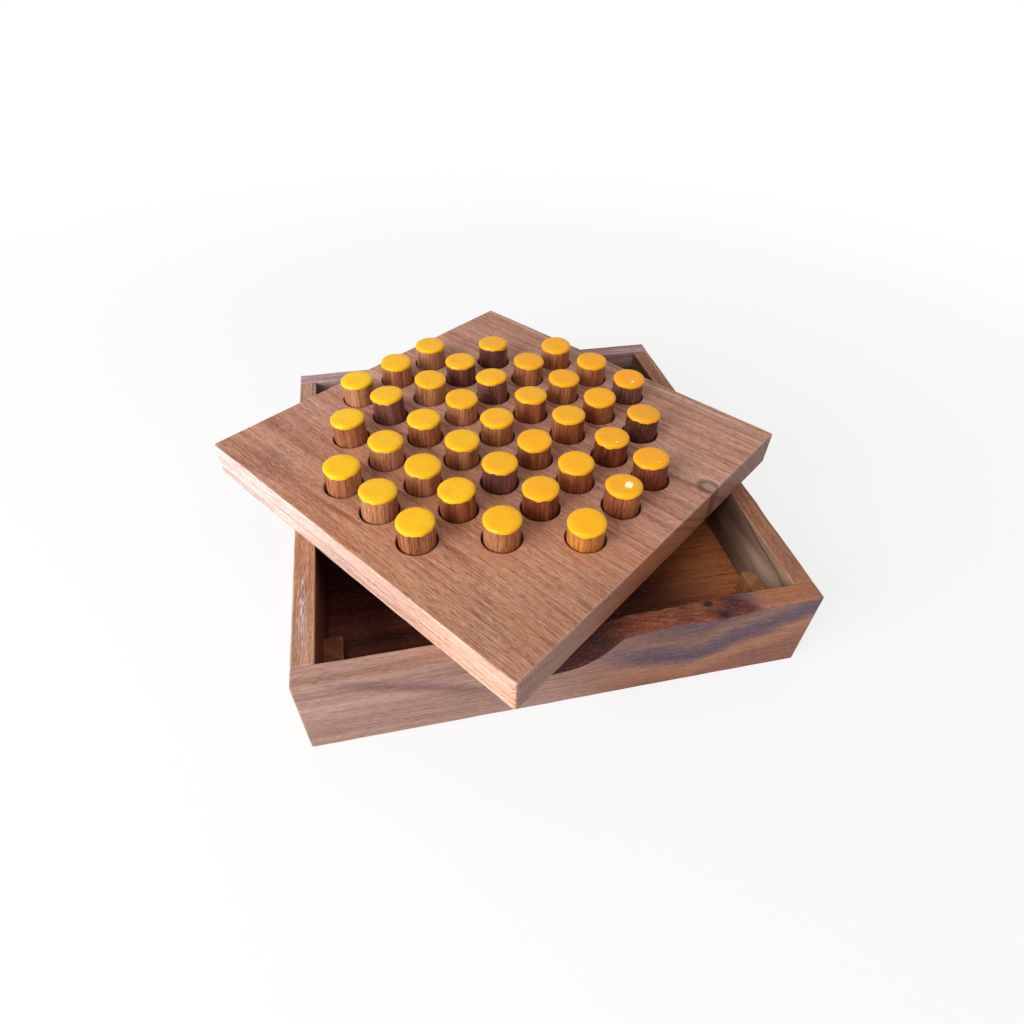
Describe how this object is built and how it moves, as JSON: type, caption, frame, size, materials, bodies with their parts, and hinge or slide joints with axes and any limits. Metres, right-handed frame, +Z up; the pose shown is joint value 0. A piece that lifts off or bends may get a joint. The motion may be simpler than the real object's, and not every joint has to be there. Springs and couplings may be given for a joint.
{
  "type": "peg solitaire board",
  "caption": "Square drilled board full of short lacquer-tipped dowel pegs, lying turned on the open wooden box that it closes as a drop-in lid.",
  "frame": {"origin": "on the table, under the middle of the drilled board", "axes": "+Z up, +X along the box's front wall to the right, +Y from the front wall to the back wall"},
  "size_m": [0.217, 0.217, 0.0603],
  "materials": {
    "board_wood": "waxed, open-grained",
    "front_wall_wood": "waxed, figured, with a natural edge",
    "wall_wood": "waxed",
    "floor_wood": "waxed",
    "block_wood": "bare",
    "peg_wood": "oiled dowel",
    "yellow_lacquer": "dipped lacquer"
  },
  "bodies": {
    "box": {"front_wall": "front_wall_wood", "back_wall": "wall_wood", "left_wall": "wall_wood", "right_wall": "wall_wood", "floor_panel": "floor_wood", "front_left_corner_block": "block_wood", "front_right_corner_block": "block_wood", "back_left_corner_block": "block_wood", "back_right_corner_block": "block_wood"},
    "board": {"solitaire_board": "board_wood"},
    "peg_a3": {"peg_a3": "peg_wood"},
    "peg_a4": {"peg_a4": "peg_wood"},
    "peg_a5": {"peg_a5": "peg_wood"},
    "peg_b2": {"peg_b2": "peg_wood"},
    "peg_b3": {"peg_b3": "peg_wood"},
    "peg_b4": {"peg_b4": "peg_wood"},
    "peg_b5": {"peg_b5": "peg_wood"},
    "peg_b6": {"peg_b6": "peg_wood"},
    "peg_c1": {"peg_c1": "peg_wood"},
    "peg_c2": {"peg_c2": "peg_wood"},
    "peg_c3": {"peg_c3": "peg_wood"},
    "peg_c4": {"peg_c4": "peg_wood"},
    "peg_c5": {"peg_c5": "peg_wood"},
    "peg_c6": {"peg_c6": "peg_wood"},
    "peg_c7": {"peg_c7": "peg_wood"},
    "peg_d1": {"peg_d1": "peg_wood"},
    "peg_d2": {"peg_d2": "peg_wood"},
    "peg_d3": {"peg_d3": "peg_wood"},
    "peg_d4": {"peg_d4": "peg_wood"},
    "peg_d5": {"peg_d5": "peg_wood"},
    "peg_d6": {"peg_d6": "peg_wood"},
    "peg_d7": {"peg_d7": "peg_wood"},
    "peg_e1": {"peg_e1": "peg_wood"},
    "peg_e2": {"peg_e2": "peg_wood"},
    "peg_e3": {"peg_e3": "peg_wood"},
    "peg_e4": {"peg_e4": "peg_wood"},
    "peg_e5": {"peg_e5": "peg_wood"},
    "peg_e6": {"peg_e6": "peg_wood"},
    "peg_e7": {"peg_e7": "peg_wood"},
    "peg_f2": {"peg_f2": "peg_wood"},
    "peg_f3": {"peg_f3": "peg_wood"},
    "peg_f4": {"peg_f4": "peg_wood"},
    "peg_f5": {"peg_f5": "peg_wood"},
    "peg_f6": {"peg_f6": "peg_wood"},
    "peg_g3": {"peg_g3": "peg_wood"},
    "peg_g4": {"peg_g4": "peg_wood"},
    "peg_g5": {"peg_g5": "peg_wood"}
  },
  "joints": [
    {"name": "board_lift", "type": "slide", "parent": "box", "child": "board", "axis": [0, 0, 1], "range_m": [0, 0.06]},
    {"name": "peg_a3_pull", "type": "slide", "parent": "board", "child": "peg_a3", "axis": [0, 0, 1], "range_m": [0, 0.025]},
    {"name": "peg_a4_pull", "type": "slide", "parent": "board", "child": "peg_a4", "axis": [0, 0, 1], "range_m": [0, 0.025]},
    {"name": "peg_a5_pull", "type": "slide", "parent": "board", "child": "peg_a5", "axis": [0, 0, 1], "range_m": [0, 0.025]},
    {"name": "peg_b2_pull", "type": "slide", "parent": "board", "child": "peg_b2", "axis": [0, 0, 1], "range_m": [0, 0.025]},
    {"name": "peg_b3_pull", "type": "slide", "parent": "board", "child": "peg_b3", "axis": [0, 0, 1], "range_m": [0, 0.025]},
    {"name": "peg_b4_pull", "type": "slide", "parent": "board", "child": "peg_b4", "axis": [0, 0, 1], "range_m": [0, 0.025]},
    {"name": "peg_b5_pull", "type": "slide", "parent": "board", "child": "peg_b5", "axis": [0, 0, 1], "range_m": [0, 0.025]},
    {"name": "peg_b6_pull", "type": "slide", "parent": "board", "child": "peg_b6", "axis": [0, 0, 1], "range_m": [0, 0.025]},
    {"name": "peg_c1_pull", "type": "slide", "parent": "board", "child": "peg_c1", "axis": [0, 0, 1], "range_m": [0, 0.025]},
    {"name": "peg_c2_pull", "type": "slide", "parent": "board", "child": "peg_c2", "axis": [0, 0, 1], "range_m": [0, 0.025]},
    {"name": "peg_c3_pull", "type": "slide", "parent": "board", "child": "peg_c3", "axis": [0, 0, 1], "range_m": [0, 0.025]},
    {"name": "peg_c4_pull", "type": "slide", "parent": "board", "child": "peg_c4", "axis": [0, 0, 1], "range_m": [0, 0.025]},
    {"name": "peg_c5_pull", "type": "slide", "parent": "board", "child": "peg_c5", "axis": [0, 0, 1], "range_m": [0, 0.025]},
    {"name": "peg_c6_pull", "type": "slide", "parent": "board", "child": "peg_c6", "axis": [0, 0, 1], "range_m": [0, 0.025]},
    {"name": "peg_c7_pull", "type": "slide", "parent": "board", "child": "peg_c7", "axis": [0, 0, 1], "range_m": [0, 0.025]},
    {"name": "peg_d1_pull", "type": "slide", "parent": "board", "child": "peg_d1", "axis": [0, 0, 1], "range_m": [0, 0.025]},
    {"name": "peg_d2_pull", "type": "slide", "parent": "board", "child": "peg_d2", "axis": [0, 0, 1], "range_m": [0, 0.025]},
    {"name": "peg_d3_pull", "type": "slide", "parent": "board", "child": "peg_d3", "axis": [0, 0, 1], "range_m": [0, 0.025]},
    {"name": "peg_d4_pull", "type": "slide", "parent": "board", "child": "peg_d4", "axis": [0, 0, 1], "range_m": [0, 0.025]},
    {"name": "peg_d5_pull", "type": "slide", "parent": "board", "child": "peg_d5", "axis": [0, 0, 1], "range_m": [0, 0.025]},
    {"name": "peg_d6_pull", "type": "slide", "parent": "board", "child": "peg_d6", "axis": [0, 0, 1], "range_m": [0, 0.025]},
    {"name": "peg_d7_pull", "type": "slide", "parent": "board", "child": "peg_d7", "axis": [0, 0, 1], "range_m": [0, 0.025]},
    {"name": "peg_e1_pull", "type": "slide", "parent": "board", "child": "peg_e1", "axis": [0, 0, 1], "range_m": [0, 0.025]},
    {"name": "peg_e2_pull", "type": "slide", "parent": "board", "child": "peg_e2", "axis": [0, 0, 1], "range_m": [0, 0.025]},
    {"name": "peg_e3_pull", "type": "slide", "parent": "board", "child": "peg_e3", "axis": [0, 0, 1], "range_m": [0, 0.025]},
    {"name": "peg_e4_pull", "type": "slide", "parent": "board", "child": "peg_e4", "axis": [0, 0, 1], "range_m": [0, 0.025]},
    {"name": "peg_e5_pull", "type": "slide", "parent": "board", "child": "peg_e5", "axis": [0, 0, 1], "range_m": [0, 0.025]},
    {"name": "peg_e6_pull", "type": "slide", "parent": "board", "child": "peg_e6", "axis": [0, 0, 1], "range_m": [0, 0.025]},
    {"name": "peg_e7_pull", "type": "slide", "parent": "board", "child": "peg_e7", "axis": [0, 0, 1], "range_m": [0, 0.025]},
    {"name": "peg_f2_pull", "type": "slide", "parent": "board", "child": "peg_f2", "axis": [0, 0, 1], "range_m": [0, 0.025]},
    {"name": "peg_f3_pull", "type": "slide", "parent": "board", "child": "peg_f3", "axis": [0, 0, 1], "range_m": [0, 0.025]},
    {"name": "peg_f4_pull", "type": "slide", "parent": "board", "child": "peg_f4", "axis": [0, 0, 1], "range_m": [0, 0.025]},
    {"name": "peg_f5_pull", "type": "slide", "parent": "board", "child": "peg_f5", "axis": [0, 0, 1], "range_m": [0, 0.025]},
    {"name": "peg_f6_pull", "type": "slide", "parent": "board", "child": "peg_f6", "axis": [0, 0, 1], "range_m": [0, 0.025]},
    {"name": "peg_g3_pull", "type": "slide", "parent": "board", "child": "peg_g3", "axis": [0, 0, 1], "range_m": [0, 0.025]},
    {"name": "peg_g4_pull", "type": "slide", "parent": "board", "child": "peg_g4", "axis": [0, 0, 1], "range_m": [0, 0.025]},
    {"name": "peg_g5_pull", "type": "slide", "parent": "board", "child": "peg_g5", "axis": [0, 0, 1], "range_m": [0, 0.025]}
  ]
}
